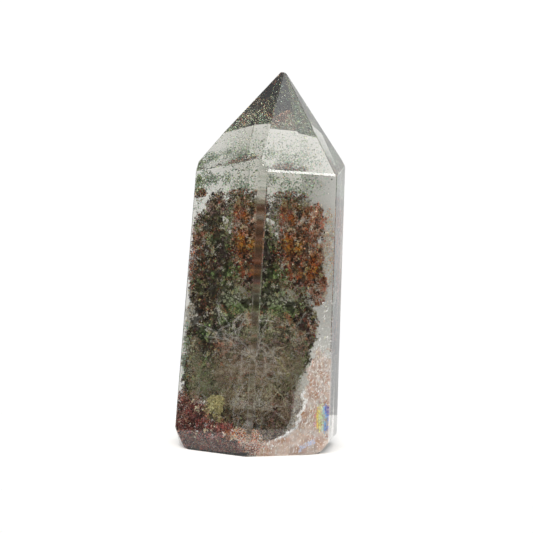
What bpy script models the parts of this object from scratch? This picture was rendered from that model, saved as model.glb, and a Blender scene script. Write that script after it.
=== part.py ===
"""Chlorite quartz point: a clear stone ground to facets, with a mineral garden sealed inside it.

The stone stands on its flat base, tip up, with the origin at the middle of its footprint.
Lengths at the top are in millimetres and are turned to metres once, by MM.
Azimuths are degrees from the front (-Y) towards the right (+X).
"""
import math

import bmesh
import bpy
from mathutils import Matrix, Vector, noise

MM = 0.001

# Outline of the stone
HEIGHT = 65.0
APEX = (2.2, 1.55, 65.6)
TIP_FLAT_TILT = 14.0
TIP_FLAT_DROP = 0.62
EASED_EDGE = 0.32

# Side facets: azimuth, lean inwards, distance from the axis at the base
SIDES = {
    "front_left": (-32.9, 1.95, 12.46),
    "front_strip": (-30.0, 2.0, 12.75),
    "front_right": (26.1, 0.9, 12.33),
    "right": (80.9, 0.2, 12.83),
    "back_right": (151.4, 0.8, 13.15),
    "back_left": (-155.7, 1.4, 12.2),
    "left": (-98.4, 2.25, 12.98),
}

# Facets of the point: azimuth, angle of the normal above level, how far under the apex it passes
POINT = {
    "front_left": (-37.8, 36.6, 0.08),
    "front_right": (25.4, 32.0, -0.05),
    "right": (72.7, 31.0, 0.0),
    "back_right": (151.4, 34.2, 0.04),
    "back_left": (-155.7, 35.6, 0.0),
    "left": (-98.3, 34.4, -0.95),
    "left_upper": (-98.4, 37.7, -0.08),
}

# Cuts at the foot: azimuth, angle of the normal above level, distance from the origin
FOOT_CUTS = {
    "left_heel": (-78.0, -24.1, 12.03),
    "left_toe": (-68.0, -48.4, 8.9),
    "right_heel": (80.8, -38.0, 8.95),
    "right_toe": (48.1, -49.0, 7.93),
    "front_right_bevel": (26.0, -45.0, 8.13),
}

# Where the stone is parted to hold what is sealed in it
PARTING_HEIGHT = 25.0
PARTING_GAP = 0.3

# The pocket and the depth under the facets at which the sealed masses start
POCKET_SKIN = 0.5
MASS_SKIN = 0.9
POCKET_SWELL = 0.75
NEIGHBOUR_SWELL = 0.7
LUMP_GRID = 0.7
ROUGHNESS = 0.22
ROUGHNESS_GRAIN = 2.4

# Turn of a lump that lies along the back left facet, along the back right facet, or square to the axes
ALONG_BACK_LEFT = 24.3
ALONG_BACK_RIGHT = -28.6
SQUARE = 0.0

# Lumps of the sealed masses: centre x, y, z, half widths along, across and up, turn
GARDEN_SHEET = [
    (-5.2, 8.8, 40.0, 2.3, 1.5, 3.2, ALONG_BACK_LEFT),
    (-7.9, 7.6, 35.4, 2.4, 1.5, 4.4, ALONG_BACK_LEFT),
    (-4.7, 9.1, 34.8, 2.6, 1.7, 4.8, ALONG_BACK_LEFT),
    (-2.5, 10.3, 32.6, 1.9, 1.5, 3.6, ALONG_BACK_LEFT),
    (-8.1, 7.7, 27.6, 2.4, 1.7, 5.4, ALONG_BACK_LEFT),
    (-4.8, 9.1, 27.2, 2.8, 2.0, 5.4, ALONG_BACK_LEFT),
    (-1.3, 10.8, 26.4, 2.4, 1.9, 4.2, ALONG_BACK_LEFT),
    (-8.2, 7.6, 19.6, 2.6, 2.1, 5.2, ALONG_BACK_LEFT),
    (-8.4, 7.4, 11.8, 2.7, 2.4, 5.2, ALONG_BACK_LEFT),
    (-8.6, 7.2, 5.2, 2.8, 2.5, 4.2, ALONG_BACK_LEFT),
    (-4.6, 8.4, 19.8, 3.2, 2.9, 5.2, ALONG_BACK_LEFT),
    (-4.4, 8.4, 12.4, 3.4, 3.3, 5.0, ALONG_BACK_LEFT),
    (-4.4, 8.6, 5.5, 3.4, 3.3, 4.3, ALONG_BACK_LEFT),
    (-0.4, 10.2, 20.6, 3.0, 2.7, 4.8, ALONG_BACK_LEFT),
    (0.2, 10.0, 12.6, 3.6, 3.0, 5.0, ALONG_BACK_LEFT),
    (-0.6, 9.8, 5.6, 2.8, 3.0, 4.4, ALONG_BACK_LEFT),
    (3.0, 10.4, 22.6, 2.6, 2.2, 3.8, ALONG_BACK_RIGHT),
    (3.2, 9.9, 15.8, 2.4, 2.4, 4.6, ALONG_BACK_RIGHT),
    (5.2, 9.6, 20.0, 1.9, 1.5, 4.4, ALONG_BACK_RIGHT),
]
GARDEN_SWELL_FORWARD = [
    (-3.8, 4.4, 7.2, 4.0, 3.8, 4.6, SQUARE),
    (-3.2, 4.2, 14.2, 3.8, 3.8, 4.8, SQUARE),
    (0.2, 4.6, 8.0, 3.2, 4.0, 5.0, SQUARE),
    (1.6, 5.0, 15.4, 3.6, 3.8, 4.8, SQUARE),
    (-5.0, 5.4, 20.6, 2.8, 2.8, 3.8, SQUARE),
    (-0.6, 6.6, 20.4, 3.0, 2.8, 3.8, SQUARE),
]
IRON_CLOUD = [
    (-0.2, 11.1, 40.4, 1.7, 1.4, 2.6, ALONG_BACK_LEFT),
    (1.4, 11.5, 40.8, 1.9, 1.5, 2.6, ALONG_BACK_LEFT),
    (0.5, 11.4, 36.2, 2.0, 1.5, 3.6, ALONG_BACK_LEFT),
    (1.5, 11.6, 32.2, 1.8, 1.6, 3.8, ALONG_BACK_LEFT),
    (3.3, 11.2, 39.6, 1.9, 1.5, 3.2, ALONG_BACK_RIGHT),
    (3.3, 11.2, 34.0, 2.0, 1.6, 4.4, ALONG_BACK_RIGHT),
    (3.4, 11.2, 29.8, 2.0, 1.6, 3.0, ALONG_BACK_RIGHT),
    (5.6, 9.6, 38.6, 1.9, 1.5, 4.0, ALONG_BACK_RIGHT),
    (5.6, 9.7, 32.0, 2.0, 1.6, 4.8, ALONG_BACK_RIGHT),
    (6.6, 8.9, 27.4, 1.8, 1.5, 3.4, ALONG_BACK_RIGHT),
    (1.2, 11.6, 27.8, 1.8, 1.5, 3.0, ALONG_BACK_LEFT),
]
HEMATITE_MASS = [
    (-10.0, -0.8, 3.6, 2.6, 3.4, 2.9, SQUARE),
    (-8.0, -4.2, 3.2, 2.6, 3.0, 2.5, SQUARE),
    (-5.4, -6.6, 2.8, 2.6, 2.8, 2.2, SQUARE),
    (-8.0, -1.0, 3.4, 3.2, 3.4, 2.8, SQUARE),
    (-9.4, -2.4, 6.0, 2.2, 2.8, 2.4, SQUARE),
    (-5.0, -3.6, 2.7, 2.8, 3.0, 2.1, SQUARE),
    (-2.8, -7.4, 2.2, 1.9, 2.4, 1.5, SQUARE),
    (-7.2, -5.4, 6.6, 2.2, 2.2, 1.6, SQUARE),
]
FIBRE_VEIL = [
    (-7.4, -1.8, 13.4, 3.4, 2.4, 4.6, SQUARE),
    (-3.2, -2.6, 13.6, 3.6, 2.8, 5.0, SQUARE),
    (1.4, -2.6, 13.0, 3.8, 2.8, 5.2, SQUARE),
    (4.4, -1.6, 14.4, 2.6, 2.2, 4.4, SQUARE),
    (-3.4, -1.6, 7.8, 3.6, 2.2, 3.6, SQUARE),
    (0.4, -2.0, 6.6, 3.2, 2.4, 4.2, SQUARE),
]

# Triangles kept in each lumpy solid
GARDEN_TRIANGLES = 2000
IRON_TRIANGLES = 900
HEMATITE_TRIANGLES = 800
VEIL_TRIANGLES = 900
POCKET_TRIANGLES = 1900
NEIGHBOUR_TRIANGLES = 1200


def clear_scene():
    """Remove everything that a new Blender file starts with."""
    for found in list(bpy.data.objects):
        bpy.data.objects.remove(found, do_unlink=True)


def new_collection(name):
    """Make a collection in the scene and return it."""
    made = bpy.data.collections.new(name)
    bpy.context.scene.collection.children.link(made)
    return made


def facet_normal(azimuth, rise):
    """Unit normal of a facet from its azimuth and its angle above level, in degrees."""
    turn = math.radians(azimuth)
    lift = math.radians(rise)
    level = math.cos(lift)
    return Vector((math.sin(turn) * level, -math.cos(turn) * level, math.sin(lift)))


def stone_facets(inset):
    """Every facet of the stone as a normal and a distance in mm, moved inwards by inset mm."""
    facets = [(Vector((0.0, 0.0, -1.0)), 0.0)]
    for azimuth, lean, reach in SIDES.values():
        facets.append((facet_normal(azimuth, lean), reach * math.cos(math.radians(lean))))
    apex = Vector(APEX)
    for azimuth, rise, drop in POINT.values():
        normal = facet_normal(azimuth, rise)
        facets.append((normal, normal.dot(apex) - drop))
    for azimuth, rise, reach in FOOT_CUTS.values():
        facets.append((facet_normal(azimuth, rise), reach))
    tip = facet_normal(90.0, 90.0 - TIP_FLAT_TILT)
    facets.append((tip, tip.dot(apex) - TIP_FLAT_DROP))
    return [(normal, reach - inset) for normal, reach in facets]


def grind(bm, normal, reach, gap=0.0):
    """Cut away what lies past a plane and close the cut with a flat face."""
    everything = bm.verts[:] + bm.edges[:] + bm.faces[:]
    spot = normal * (reach - gap) * MM
    cut = bmesh.ops.bisect_plane(
        bm, geom=everything, dist=1e-7, plane_co=spot, plane_no=normal, clear_outer=True
    )
    rim = [part for part in cut["geom_cut"] if isinstance(part, bmesh.types.BMEdge)]
    if rim:
        bmesh.ops.holes_fill(bm, edges=rim, sides=0)
        bmesh.ops.recalc_face_normals(bm, faces=bm.faces)


def ground_stone(inset=0.0):
    """Grind a rough block to the stone's facets and return it as a bmesh."""
    bm = bmesh.new()
    bmesh.ops.create_cube(bm, size=3.0 * HEIGHT * MM)
    for normal, reach in stone_facets(inset):
        grind(bm, normal, reach)
    return bm


def footprint_middle():
    """Middle of the stone's plan outline in metres, which the finished part puts at the origin."""
    bm = ground_stone()
    across = [corner.co.x for corner in bm.verts]
    deep = [corner.co.y for corner in bm.verts]
    bm.free()
    return Vector(((min(across) + max(across)) / 2, (min(deep) + max(deep)) / 2, 0.0))


def add_object(name, bm, collection):
    """Put a bmesh in the scene as a named object and return the object."""
    mesh = bpy.data.meshes.new(name)
    bm.to_mesh(mesh)
    bm.free()
    made = bpy.data.objects.new(name, mesh)
    collection.objects.link(made)
    return made


def hide_tool(tool):
    """Mark an object as a cutter or guide that is no part of the stone."""
    tool.hide_render = True
    tool.display_type = "WIRE"


def settle(item):
    """Replace an object's mesh by the result of its modifiers."""
    graph = bpy.context.evaluated_depsgraph_get()
    result = bpy.data.meshes.new_from_object(item.evaluated_get(graph))
    item.modifiers.clear()
    item.data = result
    item.data.name = item.name


def combine(item, other, operation):
    """Apply an exact Boolean with another object."""
    step = item.modifiers.new(operation.lower(), "BOOLEAN")
    step.operation = operation
    step.solver = "EXACT"
    step.object = other
    settle(item)


def thin_out(item, triangles):
    """Bring a lumpy solid down to a number of triangles."""
    item.data.calc_loop_triangles()
    step = item.modifiers.new("fewer faces", "DECIMATE")
    step.ratio = min(1.0, triangles / len(item.data.loop_triangles))
    step.use_collapse_triangulate = True
    settle(item)


def roughen(item, depth):
    """Push each point along its normal by a smooth seeded noise, at most depth mm."""
    bm = bmesh.new()
    bm.from_mesh(item.data)
    bm.normal_update()
    for point in bm.verts:
        push = noise.noise(point.co / (ROUGHNESS_GRAIN * MM))
        point.co += point.normal * push * depth * MM
    bm.to_mesh(item.data)
    bm.free()


def lumpy_solid(name, lumps, swell, triangles, collection):
    """Fuse overlapping lumps into one closed solid, each lump swollen by swell mm."""
    bm = bmesh.new()
    for x, y, z, wide, deep, tall, turn in lumps:
        size = Matrix.Diagonal(((wide + swell) * MM, (deep + swell) * MM, (tall + swell) * MM, 1.0))
        place = Matrix.Translation(Vector((x, y, z)) * MM) @ Matrix.Rotation(math.radians(turn), 4, "Z")
        bmesh.ops.create_icosphere(bm, subdivisions=3, radius=1.0, matrix=place @ size)
    made = add_object(name, bm, collection)
    fuse = made.modifiers.new("fuse", "REMESH")
    fuse.mode = "VOXEL"
    fuse.voxel_size = LUMP_GRID * MM
    settle(made)
    if swell == 0.0:
        roughen(made, ROUGHNESS)
    thin_out(made, triangles)
    return made


def keep_inside(item, inset, tools):
    """Grind a lumpy solid flat where it would come nearer than inset mm to the stone's facets."""
    limit = add_object(item.name + "_limit", ground_stone(inset), tools)
    combine(item, limit, "INTERSECT")
    bpy.data.objects.remove(limit, do_unlink=True)


def sealed_mass(name, lumps, triangles, neighbours, collection, tools):
    """One mass sealed in the stone, kept clear of the facets and of its neighbours' lumps."""
    made = lumpy_solid(name, lumps, 0.0, triangles, collection)
    keep_inside(made, MASS_SKIN, tools)
    if neighbours:
        bite = lumpy_solid(name + "_bite", neighbours, NEIGHBOUR_SWELL, NEIGHBOUR_TRIANGLES, tools)
        combine(made, bite, "DIFFERENCE")
        bpy.data.objects.remove(bite, do_unlink=True)
    return made


def pocket_cutter(tools):
    """The hollow in the stone that everything sealed in it shares."""
    lumps = GARDEN_SHEET + GARDEN_SWELL_FORWARD + IRON_CLOUD + HEMATITE_MASS + FIBRE_VEIL
    made = lumpy_solid("pocket", lumps, POCKET_SWELL, POCKET_TRIANGLES, tools)
    keep_inside(made, POCKET_SKIN, tools)
    hide_tool(made)
    return made


def ease_edges(bm):
    """Bevel the stone's polished edges by a hair, all but those of the resting face."""
    edges = [edge for edge in bm.edges if max(end.co.z for end in edge.verts) > 1e-6]
    width = EASED_EDGE * MM
    bmesh.ops.bevel(
        bm, geom=edges, offset=width, offset_type="WIDTH", segments=1, profile=0.5, affect="EDGES",
        clamp_overlap=True,
    )


def quartz_half(name, side, pocket, collection):
    """One half of the clear stone, with its share of the pocket open at the parting plane.

    side is 1.0 for the lower half and -1.0 for the upper half.
    """
    bm = ground_stone()
    ease_edges(bm)
    up = Vector((0.0, 0.0, side))
    grind(bm, up, side * PARTING_HEIGHT, PARTING_GAP / 2)
    made = add_object(name, bm, collection)
    combine(made, pocket, "DIFFERENCE")
    return made


def paint(item, colour, roughness, transmission=0.0, ior=1.5):
    """Give an object its own material."""
    material = bpy.data.materials.new(item.name)
    material.use_nodes = True
    shader = material.node_tree.nodes["Principled BSDF"]
    shader.inputs["Base Color"].default_value = (*colour, 1.0)
    shader.inputs["Roughness"].default_value = roughness
    shader.inputs["Metallic"].default_value = 0.0
    shader.inputs["Transmission Weight"].default_value = transmission
    shader.inputs["IOR"].default_value = ior
    item.data.materials.clear()
    item.data.materials.append(material)


def move_to_origin(items):
    """Shift the whole stone so that the middle of its footprint is at the origin."""
    shift = Matrix.Translation(-footprint_middle())
    for item in items:
        item.data.transform(shift)


def main():
    """Build the stone and everything sealed in it."""
    clear_scene()
    stone = new_collection("chlorite_quartz_crystal")
    tools = new_collection("cutters")
    whole_garden = GARDEN_SHEET + GARDEN_SWELL_FORWARD
    by_garden = IRON_CLOUD + HEMATITE_MASS
    by_veil = whole_garden + HEMATITE_MASS
    garden = sealed_mass("chlorite_garden", whole_garden, GARDEN_TRIANGLES, by_garden, stone, tools)
    iron = sealed_mass("iron_oxide_cloud", IRON_CLOUD, IRON_TRIANGLES, [], stone, tools)
    hematite = sealed_mass("hematite_base_mass", HEMATITE_MASS, HEMATITE_TRIANGLES, [], stone, tools)
    veil = sealed_mass("pale_fibre_veil", FIBRE_VEIL, VEIL_TRIANGLES, by_veil, stone, tools)
    pocket = pocket_cutter(tools)
    lower = quartz_half("quartz_lower", 1.0, pocket, stone)
    upper = quartz_half("quartz_upper", -1.0, pocket, stone)
    move_to_origin([garden, iron, hematite, veil, pocket, lower, upper])
    paint(lower, (0.86, 0.84, 0.82), 0.03, 1.0, 1.547)
    paint(upper, (0.86, 0.84, 0.82), 0.03, 1.0, 1.547)
    paint(garden, (0.08, 0.13, 0.07), 0.75)
    paint(iron, (0.24, 0.09, 0.04), 0.7)
    paint(hematite, (0.13, 0.06, 0.055), 0.65)
    paint(veil, (0.5, 0.46, 0.4), 0.6)


main()
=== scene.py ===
"""Looks of a polished garden quartz point: one clear stone with mineral grains sealed inside it.

The clear stone takes its facets from the frame's two halves. The sealed masses take their form from the
frame's lumpy solids: a rough core with loose grains packed around it. Lengths of the stone and of what
is in it are in millimetres, and are turned to metres by MM where a mesh is made.
"""

import logging
import math
from dataclasses import dataclass, field
from enum import Enum
from typing import Any

import bmesh
import bpy
import numpy as np
from mathutils import Matrix, Vector, noise


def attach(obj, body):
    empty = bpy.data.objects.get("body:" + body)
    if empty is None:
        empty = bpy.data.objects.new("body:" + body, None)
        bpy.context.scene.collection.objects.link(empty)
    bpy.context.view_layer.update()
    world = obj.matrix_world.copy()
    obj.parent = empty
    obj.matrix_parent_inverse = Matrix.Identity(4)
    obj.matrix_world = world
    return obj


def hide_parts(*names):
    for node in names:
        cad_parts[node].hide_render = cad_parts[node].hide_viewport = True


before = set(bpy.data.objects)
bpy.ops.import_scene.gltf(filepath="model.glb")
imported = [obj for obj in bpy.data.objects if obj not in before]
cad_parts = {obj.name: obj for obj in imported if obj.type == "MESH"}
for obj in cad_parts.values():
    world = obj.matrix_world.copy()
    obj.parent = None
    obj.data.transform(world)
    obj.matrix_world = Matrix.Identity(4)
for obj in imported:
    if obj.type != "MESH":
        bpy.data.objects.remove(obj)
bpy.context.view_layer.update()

MM = 0.001
BODY = "root"
TONE = "tone"
SATIN = "satin"
# Each octave of rough noise has lumps this many times finer than the one before.
FINER = 2.0
Colour = tuple[float, float, float]
Point = tuple[float, float, float]
Pair = tuple[float, float]
Rows = np.ndarray
Grains = tuple[Rows, Rows, Rows]
Sizes = tuple[Pair, Pair, Pair]
Rng = np.random.Generator
Piece = bpy.types.Object
Mesh = bpy.types.Mesh
Form = bmesh.types.BMesh
Material = bpy.types.Material
Node = bpy.types.Node
Tree = bpy.types.NodeTree

log = logging.getLogger("garden_quartz")


def linear(hex_colour: str) -> Colour:
    """Turn an sRGB hex colour into the linear values that shaders take.

    Args:
        hex_colour: six hex digits, such as "4f7a55".

    Returns:
        Linear red, green and blue.
    """
    parts = [int(hex_colour[i:i + 2], 16) / 255 for i in (0, 2, 4)]
    red, green, blue = (v / 12.92 if v <= 0.04045 else ((v + 0.055) / 1.055) ** 2.4 for v in parts)
    return red, green, blue


def add_node(tree: Tree, kind: str, settings: dict[str, Any], links: dict[Any, Any]) -> Node:
    """Add a node, set its properties and input values, and link its inputs.

    Args:
        tree: the node tree that the node goes in.
        kind: Blender's name of the node type.
        settings: property names with values, and input names or numbers, written "in:Name", with values.
        links: input names or numbers with the output socket that feeds each.

    Returns:
        The new node.
    """
    made = tree.nodes.new(kind)
    for name, value in settings.items():
        if name.startswith("in:"):
            key = name[3:]
            made.inputs[int(key) if key.isdigit() else key].default_value = value
        else:
            setattr(made, name, value)
    for name, source in links.items():
        tree.links.new(source, made.inputs[name])
    return made


def new_material(name: str) -> tuple[Material, Tree, Node, Node]:
    """Make an empty node material.

    Args:
        name: the material's name.

    Returns:
        The material, its node tree, its Principled shader and its output node.
    """
    material = bpy.data.materials.new(name)
    material.use_nodes = True
    tree = material.node_tree
    tree.nodes.clear()
    output = tree.nodes.new("ShaderNodeOutputMaterial")
    shader = tree.nodes.new("ShaderNodeBsdfPrincipled")
    tree.links.new(shader.outputs["BSDF"], output.inputs["Surface"])
    return material, tree, shader, output


def set_inputs(shader: Node, values: dict[str, Any]) -> None:
    """Set a shader's own sockets to plain values."""
    for name, value in values.items():
        shader.inputs[name].default_value = value


def new_object(name: str, data: bpy.types.ID) -> Piece:
    """Make an object and put it in the scene.

    Args:
        name: the object's name.
        data: the mesh, light or camera that it holds.

    Returns:
        The object.
    """
    made = bpy.data.objects.new(name, data)
    bpy.context.scene.collection.objects.link(made)
    return made


def place_piece(name: str, mesh: Mesh, material: Material) -> Piece:
    """Put a mesh in the scene as a piece of the stone.

    Args:
        name: the piece's name.
        mesh: its mesh, in the frame's place.
        material: its finish.

    Returns:
        The new object, riding on the stone's body.
    """
    piece = new_object(name, mesh)
    mesh.materials.clear()
    mesh.materials.append(material)
    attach(piece, BODY)
    return piece


def unit(rows: Rows) -> Rows:
    """Scale every row to length 1."""
    return rows / np.linalg.norm(rows, axis=1)[:, None]


def clumps_at(places: Rows, size: float) -> Rows:
    """Give smooth noise with clumps of the given size in mm, one value for each place."""
    return np.array([noise.noise(Vector(place) / size) for place in places.tolist()])


@dataclass(frozen=True)
class Lumps:
    """Rough noise: its largest lumps in mm, how fast finer ones fade, how many sizes, and its place."""

    size: float
    fall: float
    octaves: int
    shift: Point = (0.0, 0.0, 0.0)

    def at(self, places: Rows) -> Rows:
        """Give one value for each place."""
        spots = [Vector(place) / self.size + Vector(self.shift) for place in places.tolist()]
        return np.array([noise.fractal(spot, self.fall, FINER, self.octaves) for spot in spots])


def store_tones(mesh: Mesh, colours: Rows) -> None:
    """Store one linear colour, with an alpha of 1, for each of a mesh's points."""
    tones = mesh.color_attributes.new(TONE, "FLOAT_COLOR", "POINT")
    tones.data.foreach_set("color", colours.astype(np.float32).ravel())


def report(piece: Piece) -> None:
    """Log a piece's name and size."""
    log.info("%s: %d vertices, %d faces", piece.name, len(piece.data.vertices), len(piece.data.polygons))


# Minerals


class Mineral(Enum):
    """Tones of each mineral's grains, as sRGB hex values with their shares."""

    CHLORITE_DEEP = (("4a4833", 3), ("5e5c40", 2), ("1c1a12", 3), ("7c7a5e", 1), ("382c1e", 2))
    CHLORITE_LEAF = (("60744e", 3), ("78885e", 2), ("465a38", 3), ("96a27e", 1), ("24301c", 2))
    CHLORITE_PALE = (("8c9482", 3), ("7c8872", 3), ("929a86", 2), ("66745c", 1))
    CHLORITE_TEAL = (("76948a", 3), ("648478", 3), ("8a9a8e", 2), ("506e62", 2))
    IRON_RUST = (("8a5040", 3), ("683428", 3), ("a86c50", 2), ("240e0a", 3), ("c8a08a", 2))
    IRON_AMBER = (("92582a", 4), ("8a481c", 3), ("926e48", 2), ("4a200c", 2), ("1a0c06", 1))
    HEMATITE = (("522624", 3), ("36161a", 3), ("743e3a", 2), ("100808", 3), ("8c6460", 1))
    ROSE_CLAY = (("b88478", 3), ("a06c60", 2), ("d0a89c", 2), ("744840", 1))
    BEIGE_CLAY = (("b8a890", 3), ("ccc0a8", 2), ("968670", 2), ("e0d8c8", 1))
    OCHRE = (("7a7452", 3), ("646042", 3), ("8c8664", 2), ("38361f", 1))
    # Near-black grains, strewn among the others and laid in dark spots, as painted shade in the deep gaps
    # between grains.
    SOOT = (("0a0706", 3), ("120d0b", 2), ("1a1310", 1))
    PLUM = (("4c383c", 3), ("2e2024", 3), ("685458", 2), ("120a0e", 2), ("8a7678", 1))
    TAUPE = (("80705f", 3), ("6c5c50", 2), ("94806e", 2), ("5e5c4c", 1))
    MILK = (("fbf7f4", 3), ("ece6e2", 2), ("d8d0ca", 1))


Mix = tuple[tuple[Mineral, float], ...]
BRIGHTEST = 0.95
# The grains are seen through smoky quartz, which dims them, so their tones are lifted by this factor.
TONE_GAIN = 3.3
# A patch ends at its rim and fades over this much inside it, both as shares of its half widths.
PATCH_RIM = 1.3
PATCH_FADE = 0.6


def blend(**shares: float) -> Mix:
    """Give a mix of minerals from their names and shares, such as blend(soot=1.0, plum=2.0)."""
    return tuple((Mineral[name.upper()], share) for name, share in shares.items())


@dataclass(frozen=True)
class Patch:
    """A region where one mineral is common: its centre, half widths in mm and how far it takes over."""

    mineral: Mineral
    centre: Point
    reach: Point
    share: float


def choose_minerals(
    places: Rows, base: Mix, patches: tuple[Patch, ...], rng: Rng
) -> tuple[list[Mineral], Rows]:
    """Choose a mineral for every grain from the mix it lies in and the patches around it.

    Args:
        places: one row of x, y, z in mm for each grain.
        base: the minerals found everywhere, with their shares.
        patches: the regions where one mineral is common; later ones lie over earlier ones.
        rng: the seeded random numbers.

    Returns:
        The list of minerals, and each grain's number in that list.
    """
    minerals = [mineral for mineral, _ in base]
    shares = np.array([share for _, share in base], float)
    chosen = rng.choice(len(minerals), size=len(places), p=shares / shares.sum())
    for patch in patches:
        if patch.mineral not in minerals:
            minerals.append(patch.mineral)
        offset = (places - np.array(patch.centre)) / np.array(patch.reach)
        distance = np.sqrt((offset ** 2).sum(axis=1))
        chance = np.clip((PATCH_RIM - distance) / PATCH_FADE, 0.0, 1.0) * patch.share
        taken = rng.random(len(places)) < chance
        chosen[taken] = minerals.index(patch.mineral)
    return minerals, chosen


def pick_tones(places: Rows, base: Mix, patches: tuple[Patch, ...], spread: float, rng: Rng) -> Rows:
    """Choose a mineral for every grain, and pick its linear colour from that mineral's tones.

    Args:
        places: one row of x, y, z in mm for each grain.
        base: the minerals found everywhere, with their shares.
        patches: the regions where one mineral is common.
        spread: how far a grain may be lighter or darker than its tone.
        rng: the seeded random numbers.

    Returns:
        An array with one row of red, green, blue and 1 for each grain.
    """
    minerals, chosen = choose_minerals(places, base, patches, rng)
    colours = np.ones((len(chosen), 4))
    for number, mineral in enumerate(minerals):
        here = np.flatnonzero(chosen == number)
        tones = np.array([linear(tone) for tone, _ in mineral.value]) * TONE_GAIN
        shares = np.array([share for _, share in mineral.value], float)
        picks = rng.choice(len(tones), size=len(here), p=shares / shares.sum())
        colours[here, :3] = tones[picks]
    light = np.exp(rng.normal(0.0, spread, len(chosen)))
    colours[:, :3] = np.clip(colours[:, :3] * light[:, None], 0.0, BRIGHTEST)
    return colours


# Finishes


@dataclass(frozen=True)
class Relief:
    """Fine unevenness of a surface: its size and height in mm, its strength and the noise it comes from."""

    size: float
    height: float
    strength: float
    detail: float
    fall: float = 0.5

    def add(self, tree: Tree, shader: Node) -> Node:
        """Add the noise and the bump that it feeds.

        Args:
            tree: the material's node tree.
            shader: the shader whose normal the bump bends.

        Returns:
            The noise node.
        """
        place = add_node(tree, "ShaderNodeTexCoord", {}, {})
        grain = add_node(
            tree, "ShaderNodeTexNoise",
            {"in:Scale": 1.0 / (self.size * MM), "in:Detail": self.detail, "in:Roughness": self.fall},
            {"Vector": place.outputs["Object"]},
        )
        bump = add_node(
            tree, "ShaderNodeBump", {"in:Strength": self.strength, "in:Distance": self.height * MM},
            {"Height": grain.outputs["Fac"]},
        )
        tree.links.new(bump.outputs[0], shader.inputs["Normal"])
        return grain


@dataclass(frozen=True)
class GrainFinish:
    """Mineral grains grown into quartz: chlorite flakes, iron oxide crusts and clay.

    Each grain keeps its own tone, stored on the mesh. Fine mottling breaks every tone up, and the flakes'
    cleavage faces give a few glints among dull ones, so the roughness runs from waxy to earthy.
    """

    name: str
    mottle: float = 0.25
    dull: float = 0.85
    waxy: float = 0.35
    relief: float = 0.25
    relief_height: float = 0.05
    shade: Pair = (0.62, 1.3)
    shade_from: Pair = (0.3, 0.7)
    gloss_from: Pair = (0.35, 0.65)

    def material(self) -> Material:
        """Build the node material.

        Returns:
            The material.
        """
        made, tree, shader, _ = new_material(self.name)
        tone = add_node(tree, "ShaderNodeAttribute", {"attribute_name": TONE}, {})
        mottle = Relief(self.mottle, self.relief_height, self.relief, 3.0, 0.6).add(tree, shader)
        low, high = self.shade_from
        dark, pale = self.shade
        light = add_node(
            tree, "ShaderNodeMapRange",
            {"in:From Min": low, "in:From Max": high, "in:To Min": dark, "in:To Max": pale},
            {0: mottle.outputs["Fac"]},
        )
        colour = add_node(
            tree, "ShaderNodeVectorMath", {"operation": "SCALE"},
            {0: tone.outputs["Color"], "Scale": light.outputs[0]},
        )
        tree.links.new(colour.outputs[0], shader.inputs["Base Color"])
        low, high = self.gloss_from
        gloss = add_node(
            tree, "ShaderNodeMapRange",
            {"in:From Min": low, "in:From Max": high, "in:To Min": self.waxy, "in:To Max": self.dull},
            {0: mottle.outputs["Fac"]},
        )
        tree.links.new(gloss.outputs[0], shader.inputs["Roughness"])
        set_inputs(shader, {"IOR": 1.6, "Metallic": 0.0, "Specular IOR Level": 0.5})
        return made


@dataclass(frozen=True)
class PolishedQuartz:
    """Clear quartz, ground on a lap and polished: glassy, see-through, with a faint warm smokiness.

    Fine laps leave a very slight waviness, which bends what is seen through a facet by a hair. The narrow
    strip was touched up by hand, so it is satin and blurs what lies behind it.
    """

    name: str = "polished_quartz"
    satin: float = 0.15
    ior: float = 1.547
    smoke: str = "e6e5e0"
    smoke_per_metre: float = 115.0
    waves: Relief = Relief(size=7.0, height=1.0, strength=0.015, detail=1.0)

    def material(self) -> Material:
        """Build the node material with its absorption.

        Returns:
            The material.
        """
        made, tree, shader, output = new_material(self.name)
        self.waves.add(tree, shader)
        hand_worked = add_node(tree, "ShaderNodeAttribute", {"attribute_name": SATIN}, {})
        rough = add_node(
            tree, "ShaderNodeMath", {"operation": "MULTIPLY", "in:1": self.satin},
            {0: hand_worked.outputs["Fac"]},
        )
        tree.links.new(rough.outputs[0], shader.inputs["Roughness"])
        set_inputs(shader, {
            "Base Color": (1.0, 1.0, 1.0, 1.0), "Metallic": 0.0, "IOR": self.ior, "Transmission Weight": 1.0,
        })
        smoke = add_node(
            tree, "ShaderNodeVolumeAbsorption",
            {"in:Color": (*linear(self.smoke), 1.0), "in:Density": self.smoke_per_metre}, {},
        )
        tree.links.new(smoke.outputs[0], output.inputs["Volume"])
        return made


@dataclass(frozen=True)
class StudioPaper:
    """Seamless white studio paper: matt, with a faint fibre that barely shows."""

    name: str = "studio_paper"
    white: str = "dcdcdc"
    fibres: Relief = Relief(size=1.2, height=0.1, strength=0.03, detail=2.0)

    def material(self) -> Material:
        """Build the node material.

        Returns:
            The material.
        """
        made, tree, shader, _ = new_material(self.name)
        self.fibres.add(tree, shader)
        white = (*linear(self.white), 1.0)
        set_inputs(shader, {"Base Color": white, "Roughness": 0.95, "Specular IOR Level": 0.1})
        return made


# Clear stone


# How near corners are merged and how near a corner counts as on a cutting plane, in metres.
TOUCHING = 1e-6
ON_PLANE = 1e-8


def facing(angles: Pair) -> Vector:
    """Turn an azimuth, from the front towards the right, and a lean, in degrees, into a unit vector."""
    turn, lean = (math.radians(angle) for angle in angles)
    return Vector((math.sin(turn) * math.cos(lean), -math.cos(turn) * math.cos(lean), math.sin(lean)))


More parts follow.
